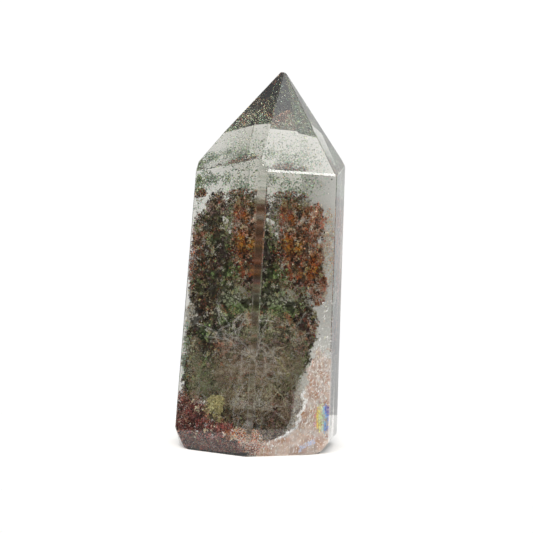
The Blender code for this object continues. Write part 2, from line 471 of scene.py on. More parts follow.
class Side(Enum):
    """Side facets of the stone by azimuth and lean in degrees."""

    FRONT_LEFT = (-32.9, 1.95)
    FRONT_STRIP = (-30.0, 2.0)
    FRONT_RIGHT = (26.1, 0.9)
    RIGHT = (80.9, 0.2)
    BACK_RIGHT = (151.4, 0.8)
    BACK_LEFT = (-155.7, 1.4)
    LEFT = (-98.4, 2.25)

    def outward(self) -> Vector:
        """Give the facet's direction as a unit vector."""
        return facing(self.value)


@dataclass
class ClearStone:
    """The one clear piece that stands for both halves of the stone.

    The strip's middle and half width, the planes, the normals and the reaches are found while it is built.
    """

    soft_edge: float = 0.05
    shoulder: Pair = (26.0, 16.5)
    shoulder_cut: float = 0.034
    strip_middle: Vector = field(default_factory=Vector)
    strip_half: float = 0.0
    flat_angle: float = math.radians(1.0)
    sharp_angle: float = math.radians(10.0)
    strip_slices: int = 6
    strip_bulge: float = 0.035
    strip_match: float = math.cos(math.radians(8.0))
    planes: dict[Side, tuple[Vector, float]] = field(default_factory=dict)
    normals: Rows = field(default_factory=lambda: np.zeros((0, 3)))
    reaches: Rows = field(default_factory=lambda: np.zeros(0))

    def build(self) -> Piece:
        """Build the stone's skin from the corners of the frame's two halves.

        Returns:
            The clear piece.
        """
        form = bmesh.new()
        for name in ("quartz_lower", "quartz_upper"):
            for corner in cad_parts[name].data.vertices:
                form.verts.new(corner.co)
        bmesh.ops.remove_doubles(form, verts=form.verts, dist=TOUCHING)
        hull = bmesh.ops.convex_hull(form, input=form.verts)
        unused = hull["geom_interior"] + hull["geom_unused"]
        spare = [part for part in unused if isinstance(part, bmesh.types.BMVert)]
        bmesh.ops.delete(form, geom=list(set(spare)), context="VERTS")
        bmesh.ops.dissolve_limit(form, angle_limit=self.flat_angle, verts=form.verts, edges=form.edges)
        bmesh.ops.recalc_face_normals(form, faces=form.faces)
        self.read_planes(form)
        self.widen_shoulder(form)
        self.round_strip(form)
        self.soften_edges(form)
        mesh = bpy.data.meshes.new("clear_quartz")
        form.to_mesh(mesh)
        form.free()
        self.mark_satin(mesh)
        piece = place_piece("clear_quartz", mesh, PolishedQuartz().material())
        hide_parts("quartz_lower", "quartz_upper")
        return piece

    def read_planes(self, form: Form) -> None:
        """Note where each facet lies, in mm.

        Args:
            form: the stone's skin.
        """
        for side in Side:
            outward = side.outward()
            face = max(form.faces, key=lambda found: found.normal.dot(outward))
            self.planes[side] = (face.normal.copy(), face.normal.dot(face.verts[0].co) / MM)
        self.normals = np.array([face.normal for face in form.faces], float)
        self.reaches = np.array([face.normal.dot(face.verts[0].co) for face in form.faces], float) / MM

    def facet_y(self, side: Side, x: Rows, z: Rows, depth: Rows) -> Rows:
        """Find how far back a point under a side facet lies.

        Args:
            side: the facet.
            x: how far right of the stone's axis.
            z: the height.
            depth: how far under the facet.

        Returns:
            The point's y, in mm.
        """
        normal, reach = self.planes[side]
        return (reach - depth - normal.x * x - normal.z * z) / normal.y

    def behind(self, x: Rows, z: Rows, depth: Rows) -> Rows:
        """Find the points under whichever back facet lies behind them.

        Args:
            x: how far right of the stone's axis.
            z: the height.
            depth: how far under the facet.

        Returns:
            An array with one row of x, y, z in mm for each point.
        """
        left = self.facet_y(Side.BACK_LEFT, x, z, depth)
        right = self.facet_y(Side.BACK_RIGHT, x, z, depth)
        return np.stack([x, np.minimum(left, right), z], axis=-1)

    def inside(self, places: Rows, skin: float) -> Rows:
        """Tell which places lie deeper than skin mm under every facet."""
        return (places @ self.normals.T < self.reaches - skin).all(axis=1)

    def widen_shoulder(self, form: Form) -> None:
        """Grind the bevel over the front right facet a little wider, as it is on the real stone.

        Args:
            form: the stone's skin, changed in place.
        """
        outward = facing(self.shoulder)
        bevel = max(form.faces, key=lambda face: face.normal.dot(outward))
        spot = bevel.verts[0].co - bevel.normal * self.shoulder_cut * MM
        everything = form.verts[:] + form.edges[:] + form.faces[:]
        outward = bevel.normal.copy()
        cut = bmesh.ops.bisect_plane(
            form, geom=everything, dist=ON_PLANE, plane_co=spot, plane_no=outward, clear_outer=True,
        )
        rim = [part for part in cut["geom_cut"] if isinstance(part, bmesh.types.BMEdge)]
        bmesh.ops.holes_fill(form, edges=rim, sides=0)
        bmesh.ops.recalc_face_normals(form, faces=form.faces)

    def strip_ways(self) -> tuple[Vector, Vector]:
        """Give the directions outward from the narrow strip and level across it."""
        outward = Side.FRONT_STRIP.outward()
        return outward, outward.cross(Vector((0.0, 0.0, 1.0))).normalized()

    def mark_satin(self, mesh: Mesh) -> None:
        """Note on the mesh which faces belong to the satin strip.

        Args:
            mesh: the stone's mesh, which gets one value for each face.
        """
        outward, across = self.strip_ways()
        satin = []
        for face in mesh.polygons:
            beside = abs((face.center - self.strip_middle).dot(across)) < self.strip_half
            satin.append(1.0 if beside and face.normal.dot(outward) > self.strip_match else 0.0)
        mesh.attributes.new(SATIN, "FLOAT", "FACE").data.foreach_set("value", satin)

    def round_strip(self, form: Form) -> None:
        """Give the narrow front strip the slight roundness of a facet touched up by hand.

        Args:
            form: the stone's skin, changed in place.
        """
        outward, across = self.strip_ways()
        strip = max(form.faces, key=lambda face: face.normal.dot(outward))
        middle = strip.calc_center_median()
        reaches = [(corner.co - middle).dot(across) for corner in strip.verts]
        low, high = min(reaches), max(reaches)
        faces = [strip]
        for step in range(1, self.strip_slices):
            cut = middle + across * (low + (high - low) * step / self.strip_slices)
            parts = faces + list({edge for face in faces for edge in face.edges})
            split = bmesh.ops.bisect_plane(form, geom=parts, dist=ON_PLANE, plane_co=cut, plane_no=across)
            made = {part for part in split["geom"] if isinstance(part, bmesh.types.BMFace)}
            faces = [face for face in list(made | set(faces)) if face.is_valid]
        half = (high - low) / 2
        centre = (high + low) / 2
        self.strip_middle = middle + across * centre
        self.strip_half = half
        for corner in {corner for face in faces for corner in face.verts}:
            offset = ((corner.co - middle).dot(across) - centre) / half
            corner.co += outward * self.strip_bulge * MM * max(0.0, 1.0 - offset * offset)

    def soften_edges(self, form: Form) -> None:
        """Round the polished edges by a hair, so that each catches a thin line of light.

        Args:
            form: the stone's skin, changed in place.
        """
        closed = [edge for edge in form.edges if edge.is_manifold]
        sharp = [edge for edge in closed if edge.calc_face_angle() > self.sharp_angle]
        bmesh.ops.bevel(
            form, geom=sharp, offset=self.soft_edge * MM, offset_type="OFFSET", segments=2, profile=0.5,
            affect="EDGES", clamp_overlap=True,
        )


# Grains, flakes and threads


class Habit(Enum):
    """Shapes of the small crystals: their corners and faces."""

    GRAIN = (
        ((0.9, 0.1, -0.5), (-0.6, 0.8, -0.5), (-0.4, -0.9, -0.5), (0.0, 0.1, 0.9)),
        ((0, 1, 3), (1, 2, 3), (2, 0, 3), (0, 2, 1)),
    )
    FLAKE = (
        ((1, 0, 0), (-1, 0, 0), (0, 1, 0), (0, -1, 0), (0, 0, 1), (0, 0, -1)),
        ((0, 2, 4), (2, 1, 4), (1, 3, 4), (3, 0, 4), (2, 0, 5), (1, 2, 5), (3, 1, 5), (0, 3, 5)),
    )


# How far a grain's half widths, and its corners' distances from its centre, part from what is drawn.
UNEVEN = (0.6, 1.3)
CORNER_REACH = (0.7, 1.2)
# Keeps a triangle without an area from dividing by nothing.
NO_AREA = 1e-12


def random_turns(count: int, rng: Rng) -> Rows:
    """Make evenly spread random rotations.

    Args:
        count: how many.
        rng: the seeded random numbers.

    Returns:
        An array of rotation matrices.
    """
    w, x, y, z = unit(rng.normal(size=(count, 4))).T
    return np.stack([
        1 - 2 * (y * y + z * z), 2 * (x * y - w * z), 2 * (x * z + w * y),
        2 * (x * y + w * z), 1 - 2 * (x * x + z * z), 2 * (y * z - w * x),
        2 * (x * z - w * y), 2 * (y * z + w * x), 1 - 2 * (x * x + y * y),
    ], axis=1).reshape(count, 3, 3)


def turns_along(directions: Rows, rng: Rng) -> Rows:
    """Make rotations that lay each crystal's long axis, its z, along a direction.

    Args:
        directions: one direction for each crystal.
        rng: the seeded random numbers.

    Returns:
        An array of rotation matrices.
    """
    long = unit(directions)
    side = unit(np.cross(long, rng.normal(size=long.shape)))
    return np.stack([side, np.cross(long, side), long], axis=2)


def crystal_mesh(
    name: str, habit: Habit, places: Rows, turns: Rows, sizes: Rows, colours: Rows, rng: Rng
) -> Mesh:
    """Build one mesh of many small crystals, each with its own lie, size and tone.

    Args:
        name: the mesh's name.
        habit: the crystals' shape.
        places: their centres in mm.
        turns: their rotations.
        sizes: their half widths along their own x, y and z, in mm.
        colours: their linear colours.
        rng: the seeded random numbers.

    Returns:
        The mesh, with the tones in a colour attribute.
    """
    corners, sides = (np.array(part, float) for part in habit.value)
    count, points = len(places), len(corners)
    shapes = corners[None] * rng.uniform(*CORNER_REACH, (count, points, 1)) * sizes[:, None, :]
    spots = np.einsum("nij,nkj->nki", turns, shapes) + places[:, None, :]
    faces = (sides.astype(int)[None] + points * np.arange(count)[:, None, None]).reshape(-1, 3)
    mesh = bpy.data.meshes.new(name)
    mesh.from_pydata(spots.reshape(-1, 3) * MM, [], faces)
    store_tones(mesh, np.repeat(colours, points, axis=0))
    return mesh


def grain_sizes(sizes: Pair, uneven: Pair, count: int, rng: Rng) -> Rows:
    """Draw grains' half widths in mm.

    Args:
        sizes: the least and the greatest half width; small grains are the more common.
        uneven: how far a grain's three half widths part from each other, as factors.
        count: how many grains.
        rng: the seeded random numbers.

    Returns:
        An array with three half widths for each grain.
    """
    small, large = sizes
    size = small + (large - small) * rng.random(count) ** 2
    return size[:, None] * rng.uniform(*uneven, (count, 3))


def grain_piece(name: str, parts: Grains, finish: Material, rng: Rng) -> Piece:
    """Build one piece of grains that lie every way.

    Args:
        name: the piece's name.
        parts: the grains' places, half widths and colours.
        finish: the grains' material.
        rng: the seeded random numbers.

    Returns:
        The piece.
    """
    places, sizes, colours = parts
    turns = random_turns(len(places), rng)
    mesh = crystal_mesh(name, Habit.GRAIN, places, turns, sizes, colours, rng)
    return place_piece(name, mesh, finish)


def surface_samples(node: str, count: int, depth: Pair, rng: Rng) -> Rows:
    """Scatter points under the skin of one of the frame's solids.

    Args:
        node: the solid's name.
        count: how many points.
        depth: how deep under the skin the points lie at most and at least, in mm.
        rng: the seeded random numbers.

    Returns:
        An array with one row of x, y, z in mm for each point.
    """
    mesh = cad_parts[node].data
    mesh.calc_loop_triangles()
    triangles = mesh.loop_triangles
    corners = np.array([[mesh.vertices[i].co for i in tri.vertices] for tri in triangles], float) / MM
    edge_a = corners[:, 1] - corners[:, 0]
    edge_b = corners[:, 2] - corners[:, 0]
    normals = np.cross(edge_a, edge_b)
    areas = np.linalg.norm(normals, axis=1)
    normals /= np.maximum(areas, NO_AREA)[:, None]
    picks = rng.choice(len(corners), size=count, p=areas / areas.sum())
    u = rng.random(count)
    v = rng.random(count)
    over = u + v > 1.0
    u[over], v[over] = 1.0 - u[over], 1.0 - v[over]
    points = corners[picks, 0] + edge_a[picks] * u[:, None] + edge_b[picks] * v[:, None]
    deepest, shallowest = depth
    sunk = shallowest + (deepest - shallowest) * rng.random(count)
    return points - normals[picks] * sunk[:, None]


@dataclass
class SealedMass:
    """One mass of mineral grains sealed in the stone: a rough core, darkened as painted shade, with grains
    packed around it.

    Grains gather in clumps, and most take on a good part of their clump's tone. Lengths are in mm.
    """

    stone: ClearStone
    name: str
    node: str
    slot: str
    base: Mix
    patches: tuple[Patch, ...]
    grains: int
    clumps: int
    seed: int
    core_grid: float = 0.34
    core_sunk: float = 0.6
    core_rough: float = 0.4
    core_lump: float = 1.1
    core_fall: float = 0.7
    core_octaves: int = 3
    core_light: float = 0.25
    core_painted_shade: float = 0.18
    clump_radius: Pair = (0.25, 0.85)
    clump_depth: Pair = (0.9, 0.0)
    clump_fill: float = 0.4
    clump_light: float = 0.55
    clump_like: float = 0.8
    clump_hold: float = 0.7
    grain_size: Pair = (0.09, 0.27)
    grain_light: float = 0.5
    skin: float = 0.35

    def build(self) -> list[Piece]:
        """Build the core and the grains.

        Returns:
            The two pieces.
        """
        rng = np.random.default_rng(self.seed)
        finish = GrainFinish(self.name + "_grain").material()
        core = place_piece(self.name + "_core", self.core_mesh(rng), finish)
        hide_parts(self.node)
        clumps = surface_samples(self.node, self.clumps, self.clump_depth, rng)
        clump_tones = pick_tones(clumps, self.base, self.patches, self.clump_light, rng)
        member = rng.integers(0, self.clumps, self.grains)
        outward = unit(rng.normal(size=(self.grains, 3)))
        radius = rng.uniform(*self.clump_radius, self.clumps)[member]
        radius = radius * rng.random(self.grains) ** self.clump_fill
        places = clumps[member] + outward * radius[:, None]
        keep = self.stone.inside(places, self.skin)
        places, member = places[keep], member[keep]
        own_tones = pick_tones(places, self.base, self.patches, self.grain_light, rng)
        hold = np.where(rng.random(len(places)) < self.clump_like, self.clump_hold, 0.0)[:, None]
        colours = clump_tones[member] * hold + own_tones * (1.0 - hold)
        sizes = grain_sizes(self.grain_size, UNEVEN, len(places), rng)
        return [core, grain_piece(self.name + "_grains", (places, sizes, colours), finish, rng)]

    def core_mesh(self, rng: Rng) -> Mesh:
        """Make the rough core by drawing the frame's solid in and crumpling its skin.

        Args:
            rng: the seeded random numbers.

        Returns:
            The core's mesh, with a tone at every point, darkened as painted shade in the gaps between the
            grains.
        """
        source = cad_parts[self.node].data.copy()
        form = bmesh.new()
        form.from_mesh(source)
        bmesh.ops.remove_doubles(form, verts=form.verts, dist=TOUCHING)
        form.to_mesh(source)
        form.free()
        temporary = new_object("core_form", source)
        grid = temporary.modifiers.new("grid", "REMESH")
        grid.mode = "VOXEL"
        grid.voxel_size = self.core_grid * MM
        graph = bpy.context.evaluated_depsgraph_get()
        mesh = bpy.data.meshes.new_from_object(temporary.evaluated_get(graph))
        bpy.data.objects.remove(temporary, do_unlink=True)
        bpy.data.meshes.remove(source)
        form = bmesh.new()
        form.from_mesh(mesh)
        form.normal_update()
        shift = Vector(rng.uniform(-1.0, 1.0, 3).tolist())
        for point in form.verts:
            here = point.co / (self.core_lump * MM) + shift
            rough = noise.fractal(here, self.core_fall, FINER, self.core_octaves)
            point.co -= point.normal * (self.core_sunk + rough * self.core_rough) * MM
        form.to_mesh(mesh)
        form.free()
        places = np.array([point.co for point in mesh.vertices], float) / MM
        colours = pick_tones(places, self.base, self.patches, self.core_light, rng)
        # The core's tones are darkened as painted shade, standing for the deep gaps seen between the grains.
        colours[:, :3] *= self.core_painted_shade
        store_tones(mesh, colours)
        return mesh


@dataclass(frozen=True)
class Drift:
    """An oval of loose grains under the back facets, all lengths in mm.

    Its middle and half widths, how many grains it has, its minerals, the depths that it lies between,
    the grains' sizes and its lightness.
    """

    x: float
    z: float
    wide: float
    tall: float
    grains: int
    mix: Mix
    depth: Pair = (0.4, 1.5)
    size: Pair = (0.07, 0.2)
    light: float = 1.0


@dataclass
class LooseGrains:
    """Grains that lie loose under the back facets, above and between the masses."""

    stone: ClearStone
    drifts: tuple[Drift, ...]
    seed: int = 21
    clump: float = 1.3
    gaps: Pair = (-0.5, 0.3)
    fill: float = 0.6
    spread: float = 0.3
    uneven: Pair = (0.5, 1.5)
    skin: float = 0.3

    def build(self) -> Piece:
        """Build all drifts as one piece.

        Returns:
            The piece.
        """
        rng = np.random.default_rng(self.seed)
        parts = [self.scatter(drift, rng) for drift in self.drifts]
        joined = tuple(np.concatenate(rows) for rows in zip(*parts))
        return grain_piece("loose_grains", joined, GrainFinish("loose_grain").material(), rng)

    def scatter(self, drift: Drift, rng: Rng) -> Grains:
        """Scatter one drift's grains, thinner towards its rim and in small clumps.

        Args:
            drift: the drift.
            rng: the seeded random numbers.

        Returns:
            The grains' places, half widths and colours.
        """
        reach = rng.random(drift.grains) ** self.fill
        turn = rng.uniform(0.0, 2.0 * math.pi, drift.grains)
        x = drift.x + drift.wide * reach * np.cos(turn)
        z = drift.z + drift.tall * reach * np.sin(turn)
        near, far = drift.depth
        places = self.stone.behind(x, z, near + (far - near) * rng.random(drift.grains))
        clumped = clumps_at(places, self.clump) > rng.uniform(*self.gaps, drift.grains)
        places = places[clumped & self.stone.inside(places, self.skin)]
        sizes = grain_sizes(drift.size, self.uneven, len(places), rng)
        colours = pick_tones(places, drift.mix, (), self.spread, rng)
        colours[:, :3] *= drift.light
        return places, sizes, colours


@dataclass(frozen=True)
class Puff:
    """A soft-edged cloud of grains or dust, all lengths in mm.

    Its middle and half widths, how many grains and wisps it has, its minerals and its lightness.
    """

    centre: Point
    reach: Point
    grains: int
    mix: Mix
    wisps: int = 0
    light: float = 0.7
    edge: float = 1.15
    fill: float = 0.45

    def scatter(self, count: int, rng: Rng) -> Rows:
        """Scatter points in the cloud, thinner towards its rim.

        Args:
            count: how many points.
            rng: the seeded random numbers.

        Returns:
            An array with one row of x, y, z in mm for each point.
        """
        outward = unit(rng.normal(size=(count, 3)))
        spread = outward * (self.edge * rng.random(count) ** self.fill)[:, None]
        return np.array(self.centre) + spread * np.array(self.reach)

    def tones(self, places: Rows, spread: float, rng: Rng) -> Rows:
        """Pick a colour for grains of this cloud.

        Args:
            places: the grains' places.
            spread: how far a grain may be lighter or darker than its tone.
            rng: the seeded random numbers.

        Returns:
            An array with one row of red, green, blue and 1 for each grain.
        """
        colours = pick_tones(places, self.mix, (), spread, rng)
        colours[:, :3] = np.clip(colours[:, :3] * self.light, 0.0, BRIGHTEST)
        return colours


@dataclass
class PuffGrains:
    """Grains strewn through the clear stone in soft-edged clouds, down to its ground foot."""

    stone: ClearStone
    name: str
    slot: str
    puffs: tuple[Puff, ...]
    size: Pair = (0.07, 0.19)
    spread: float = 0.3
    seed: int = 25
    skin: float = 0.14
    ground: float = 0.15

    def build(self) -> Piece:
        """Build the grains as one piece.

        Returns:
            The piece.
        """
        rng = np.random.default_rng(self.seed)
        spots, tones = [], []
        for puff in self.puffs:
            found = puff.scatter(puff.grains, rng)
            found = found[self.stone.inside(found, self.skin) & (found[:, 2] > self.ground)]
            spots.append(found)
            tones.append(puff.tones(found, self.spread, rng))
        places, colours = np.concatenate(spots), np.concatenate(tones)
        parts = (places, grain_sizes(self.size, UNEVEN, len(places), rng), colours)
        return grain_piece(self.name, parts, GrainFinish(self.name + "_finish").material(), rng)


@dataclass
class FibreVeil:
    """Pale dust and curling fibres that hang as a haze in front of the lower garden.

    The right edge gives x at rising heights, as seen from the front at the depth edge_at_y.
    """

    stone: ClearStone
    puffs: tuple[Puff, ...]
    seed: int = 31
    dust: Pair = (0.03, 0.07)
    dust_uneven: Pair = (0.7, 1.3)
    dust_light: float = 0.2
    clump: float = 1.7
    gaps: Pair = (-0.6, 0.35)
    view_slope: float = 0.155
    edge_at_y: float = -2.0
    right_edge: tuple[Pair, ...] = (
        (1.2, -0.4), (2.4, 1.6), (4.4, 5.4), (6.3, 7.5), (8.2, 7.9), (10.7, 7.5), (14.0, 6.9), (16.5, 7.4),
        (21.0, 8.2),
    )
    steps: int = 13
    stride: float = 0.36
    lie: Point = (1.0, 0.3, 1.0)
    curl: float = 0.16
    stray: float = 0.1
    strands: int = 3
    strand_spread: float = 0.11
    wisp_dust: int = 40
    wisp_spread: float = 0.26
    wisp_light: float = 0.35
    bright_share: float = 0.16
    bright: float = 2.4
    thread: Pair = (0.014, 0.034)
    length: Pair = (0.22, 0.34)
    skin: float = 0.6
    needle_from: Point = (1.8, 11.6, 23.1)
    needle_to: Point = (6.4, 8.6, 23.8)
    needle_parts: int = 16
    needle_tone: float = 0.8

    def inside(self, places: Rows) -> Rows:
        """Tell which places lie in the stone and left of the broken edge, as seen from the front.

        Args:
            places: one row of x, y, z in mm for each place.

        Returns:
            A true or false value for each place.
        """
        heights, edges = zip(*self.right_edge)
        shifted = places[:, 0] + (places[:, 1] - self.edge_at_y) * self.view_slope
        left = shifted < np.interp(places[:, 2], heights, edges)
        return left & self.stone.inside(places, self.skin)

    def build(self) -> list[Piece]:
        """Build the dust and the fibres.

        Returns:
            The two pieces.
        """
        rng = np.random.default_rng(self.seed)
        fibre_spots, fibre_ways, fibre_tones = [], [], []
        dust_spots, dust_tones = [], []
        for puff in self.puffs:
            found = puff.scatter(puff.grains, rng)
            found = found[clumps_at(found, self.clump) > rng.uniform(*self.gaps, len(found))]
            dust_spots.append(found)
            dust_tones.append(puff.tones(found, self.dust_light, rng))
            paths, ways = self.walk(puff, rng)
            tones = puff.tones(paths[:, 0], self.wisp_light, rng)
            rows = self.steps * self.strands
            strands = np.repeat(paths, self.strands, axis=1).reshape(-1, 3)
            fibre_spots.append(strands + rng.normal(size=strands.shape) * self.strand_spread)
            fibre_ways.append(np.repeat(ways, self.strands, axis=1).reshape(-1, 3))
            shine = np.where(rng.random(len(tones)) < self.bright_share, self.bright, 1.0)[:, None]
            fibre_tones.append(np.repeat(np.clip(tones * shine, 0.0, BRIGHTEST), rows, axis=0))
            picks = rng.integers(0, self.steps, (len(paths), self.wisp_dust))
            near = paths[np.arange(len(paths))[:, None], picks].reshape(-1, 3)
            dust_spots.append(near + rng.normal(size=near.shape) * self.wisp_spread)
            dust_tones.append(np.repeat(tones, self.wisp_dust, axis=0))
        needle = np.linspace(self.needle_from, self.needle_to, self.needle_parts)
        fibre_spots.append(needle)
        fibre_ways.append(np.tile(np.subtract(self.needle_to, self.needle_from), (len(needle), 1)))
        fibre_tones.append(np.full((len(needle), 4), self.needle_tone))
        dust = self.dust_piece(np.concatenate(dust_spots), np.concatenate(dust_tones), rng)
        joined = (np.concatenate(rows) for rows in (fibre_spots, fibre_ways, fibre_tones))
        return [dust, self.fibre_piece(*joined, rng)]

    def walk(self, puff: Puff, rng: Rng) -> tuple[Rows, Rows]:
        """Let each wisp of a cloud wander from a point in it.

        Args:
            puff: the cloud.
            rng: the seeded random numbers.

        Returns:
            The places along each wisp and the way it heads at each.
        """
        here = puff.scatter(puff.wisps, rng)
        way = rng.normal(size=here.shape) * np.array(self.lie)
        bend = rng.normal(size=here.shape) * self.curl
        paths, ways = [], []
        for _ in range(self.steps):
            way = unit(way) + bend + rng.normal(size=here.shape) * self.stray
            here = here + unit(way) * self.stride
            paths.append(here)
            ways.append(way)
        return np.stack(paths, axis=1), np.stack(ways, axis=1)

    def dust_piece(self, places: Rows, colours: Rows, rng: Rng) -> Piece:
        """Build the dust, which stands for the frame's pale solid.

        Args:
            places: the dust's places.
            colours: their linear colours.
            rng: the seeded random numbers.

        Returns:
            The piece.
        """
        keep = self.inside(places)
        places, colours = places[keep], colours[keep]
        count = len(places)
        sizes = rng.uniform(*self.dust, (count, 1)) * rng.uniform(*self.dust_uneven, (count, 3))
        finish = GrainFinish("pale_dust_grain").material()
        piece = grain_piece("pale_dust", (places, sizes, colours), finish, rng)
        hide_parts("pale_fibre_veil")
        return piece

    def fibre_piece(self, places: Rows, ways: Rows, colours: Rows, rng: Rng) -> Piece:
        """Build the fibres from short thin crystals laid end to end; the needle's come last.

        Args:
            places: the crystals' places.
            ways: the directions that they lie along.
            colours: their linear colours.
            rng: the seeded random numbers.

        Returns:
            The piece.
        """
        needle = np.arange(len(places)) >= len(places) - self.needle_parts
        keep = self.inside(places) | needle
        places, ways, colours = places[keep], ways[keep], colours[keep]
        count = len(places)
        thick = rng.uniform(*self.thread, count)
        sizes = np.stack([thick, thick, rng.uniform(*self.length, count)], axis=1)
        mesh = crystal_mesh("pale_fibres", Habit.FLAKE, places, turns_along(ways, rng), sizes, colours, rng)
        return place_piece("pale_fibres", mesh, GrainFinish("pale_fibre").material())


# Wavelengths of red, green and blue light in nm, and the film's least light and what interference adds.
FILM_WAVES = (612.0, 549.0, 464.0)
FILM_DARK = 0.08
FILM_BRIGHT = 0.87


def film_colours(path: Rows) -> Rows:
    """Work out the colours that a thin film of air shows.

    Args:
        path: the path difference of the light in the film, in nm.

    Returns:
        An array with one row of red, green, blue and 1 for each value.
    """
    bright = np.sin(math.pi * path[:, None] / np.array(FILM_WAVES)) ** 2
    return np.concatenate([FILM_DARK + FILM_BRIGHT * bright, np.ones((len(path), 1))], axis=1)


@dataclass
class BrokenCorner:
    """The healed crack at the lower right: a sheet, a milky cloud, a bright broken rim of milky fracture with
    painted glints, and a rainbow film.

    The outline gives the left edge's x at rising heights, and each jag its reach, its pace and its start.
    Lengths are in mm, and the film's light paths in nm.
    """

    stone: ClearStone
    seed: int = 41
    outline: tuple[Pair, ...] = (
        (0.4, -0.9), (1.7, 0.1), (3.4, 4.6), (6.0, 6.7), (9.0, 7.2), (12.4, 7.3), (15.6, 8.0), (17.5, 8.8),
        (26.0, 9.3),
    )
    jags: tuple[Point, ...] = ((0.3, 1.7, 0.0), (0.22, 4.3, 1.0), (0.12, 11.0, 2.0))
    right: float = 11.9
    skin: float = 0.3
    lie: Point = (0.3, 0.1, 0.8)
    light: float = 0.12
    cloud: Mix = blend(milk=6.0, beige_clay=2.5, rose_clay=0.5)
    cloud_flakes: int = 2600
    cloud_low: float = 0.4
    cloud_thins: Pair = (15.0, 20.0)
    cloud_thin: float = 0.1
    cloud_depth: Pair = (0.7, 2.8)
    cloud_clump: float = 1.2
    cloud_shade: float = 0.3
    cloud_spread: float = 0.4
    cloud_sizes: Sizes = ((0.02, 0.05), (0.04, 0.11), (0.12, 0.4))
    rim_flakes: int = 330
    rim_low: float = 2.7
    rim_top: float = 10.5
    rim_wide: float = 0.09
    rim_depth: Pair = (0.5, 0.9)
    rim_spread: float = 0.35
    rim_sizes: Sizes = ((0.02, 0.05), (0.06, 0.16), (0.2, 0.55))
    film_flakes: int = 2200
    film_low: Pair = (8.9, 3.4)
    film_high: Pair = (11.5, 8.6)
    film_depth: Pair = (0.55, 0.75)
    film_path: Pair = (1060.0, 560.0)
    film_lines: float = 14.0
    film_between: float = 0.35
    film_stretch: float = 0.6
    film_waver: float = 0.25
    film_start: float = 0.1
    film_growth: float = 1.2
    film_edge: float = 1.8
    film_patches: Pair = (0.75, 1.6)
    film_pale: float = 0.12
    film_white: float = 0.9
    film_spread: float = 0.3
    film_sizes: Sizes = ((0.01, 0.02), (0.05, 0.12), (0.1, 0.28))
    streak_flakes: int = 130
    streak_x: Pair = (6.6, 9.2)
    streak_low: float = 1.1
    streak_rise: float = 0.45
    streak_wide: float = 0.35
    streak_depth: Pair = (0.9, 1.2)
    streak_path: Pair = (590.0, 670.0)
    streak_pale: float = 0.65
    sheet_grid: tuple[int, int] = (56, 110)
    sheet_low: float = 0.4
    sheet_top: float = 20.0
    sheet_fade: float = 4.0
    sheet_depth: float = 2.2
    sheet_slice: float = 3.0
    sheet_waves: Lumps = Lumps(2.2, 0.8, 3)
    sheet_wave: float = 0.5
    sheet_ragged: float = 1.1
    sheet_mottles: Lumps = Lumps(1.5, 0.9, 4, (7.0, 0.0, 0.0))
    sheet_mottle: float = 0.9
    sheet_specks: Lumps = Lumps(0.8, 0.9, 4, (0.0, 9.0, 0.0))
    sheet_speck: float = 0.2
    sheet_tones: tuple[str, ...] = ("dcd0ca", "d4c2ba", "ceb8a8", "ccb0a6", "c49c80")

    def left_edge(self, z: Rows) -> Rows:
        """Find the crack's left edge, with the jags of a broken edge.

        Args:
            z: the heights.

        Returns:
            The edge's x at each height.
        """
        heights, edges = zip(*self.outline)
        jag = sum(reach * np.sin(z * often + start) for reach, often, start in self.jags)
        return np.interp(z, heights, edges) + jag

    def under_front(self, x: Rows, z: Rows, depth: Pair, rng: Rng) -> Rows:
        """Put points at random depths under the front right facet.

        Args:
            x: how far right each point lies.
            z: each point's height.
            depth: the least and the greatest depth.
            rng: the seeded random numbers.

        Returns:
            An array with one row of x, y, z in mm for each point.
        """
        near, far = depth
        y = self.stone.facet_y(Side.FRONT_RIGHT, x, z, near + (far - near) * rng.random(len(x)))
        return np.stack([x, y, z], axis=1)

    def flakes(
        self, name: str, places: Rows, spread: float, sizes: Sizes, tones: Rows | Mix, rng: Rng
    ) -> Piece:
        """Build one piece of flakes.

        Args:
            name: the piece's name.
            places: the flakes' centres.
            spread: how far the flakes turn away from the direction that most lie in.
            sizes: the least and the greatest thickness, width and length.
            tones: the flakes' colours, or the mix of minerals to pick them from.
            rng: the seeded random numbers.

        Returns:
            The piece.
        """
        keep = self.stone.inside(places, self.skin)
        places = places[keep]
        count = len(places)
        if isinstance(tones, np.ndarray):
            colours = tones[keep]
        else:
            colours = pick_tones(places, tones, (), self.light, rng)
            clouds = np.exp(clumps_at(places, self.cloud_clump) * self.cloud_shade)[:, None]
            colours[:, :3] = np.clip(colours[:, :3] * clouds, 0.0, BRIGHTEST)
        directions = np.array(self.lie) + rng.normal(size=(count, 3)) * spread
        widths = np.stack([rng.uniform(low, high, count) for low, high in sizes], axis=1)
        mesh = crystal_mesh(name, Habit.FLAKE, places, turns_along(directions, rng), widths, colours, rng)
        return place_piece(name, mesh, GrainFinish(name + "_flake").material())

